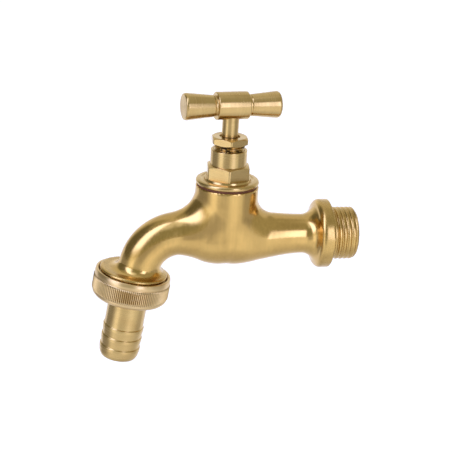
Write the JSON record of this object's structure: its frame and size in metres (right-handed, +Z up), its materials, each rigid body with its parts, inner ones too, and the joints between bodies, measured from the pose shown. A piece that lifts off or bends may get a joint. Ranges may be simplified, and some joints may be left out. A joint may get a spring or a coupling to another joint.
{
  "type": "hose bib",
  "caption": "Garden tap with a T handle, screw-down valve, wall flange with pipe thread, curved spout, knurled union nut and barbed hose tail.",
  "frame": {"origin": "centre of the inlet flange's wall-side face, on the inlet axis", "axes": "+X along the inlet thread into the wall, +Z up along the spindle axis, Y = 0 is the plane of symmetry of the body; mounts are on a wall at x = 0"},
  "size_m": [0.1029, 0.03, 0.1077],
  "materials": {
    "cast_brass": "polished casting",
    "turned_brass": "satin, turned",
    "spring_wire": "bright wire",
    "rubber": "matte",
    "fibre": "vulcanised fibre",
    "ptfe": "waxy"
  },
  "bodies": {
    "tap": {"body": "cast_brass", "bonnet": "turned_brass", "bonnet_gasket": "fibre", "gland_screw": "turned_brass", "gland_washer": "turned_brass", "packing_ring_upper": "ptfe", "packing_ring_lower": "ptfe"},
    "valve": {"jumper": "turned_brass", "jumper_clip": "spring_wire", "seat_washer": "rubber", "washer_nut": "turned_brass"},
    "turning": {"spindle": "turned_brass", "handle_bar": "turned_brass"},
    "tail": {"hose_tail": "turned_brass", "tail_seal": "rubber"},
    "nut": {"union_nut": "turned_brass"}
  },
  "joints": [
    {"name": "valve_lift", "type": "slide", "parent": "tap", "child": "valve", "axis": [0, 0, 1], "range_m": [0, 0.005]},
    {"name": "handle_turn", "type": "hinge", "parent": "valve", "child": "turning", "pos_m": [-0.0412, 0, 0.0513], "axis": [0, 0, 1], "range_deg": [0, 720]},
    {"name": "union_travel", "type": "slide", "parent": "tap", "child": "tail", "axis": [-0.1469, 0, -0.9891], "range_m": [0, 0.00544]},
    {"name": "union_turn", "type": "hinge", "parent": "tail", "child": "nut", "pos_m": [-0.07653, 0, -0.017], "axis": [-0.1469, 0, -0.9891], "range_deg": [0, 1080]}
  ],
  "couplings": [
    {"joint": "valve_lift", "follows": "handle_turn", "m_per_rad": 0.00039789},
    {"joint": "union_travel", "follows": "union_turn", "m_per_rad": 0.00028875}
  ]
}
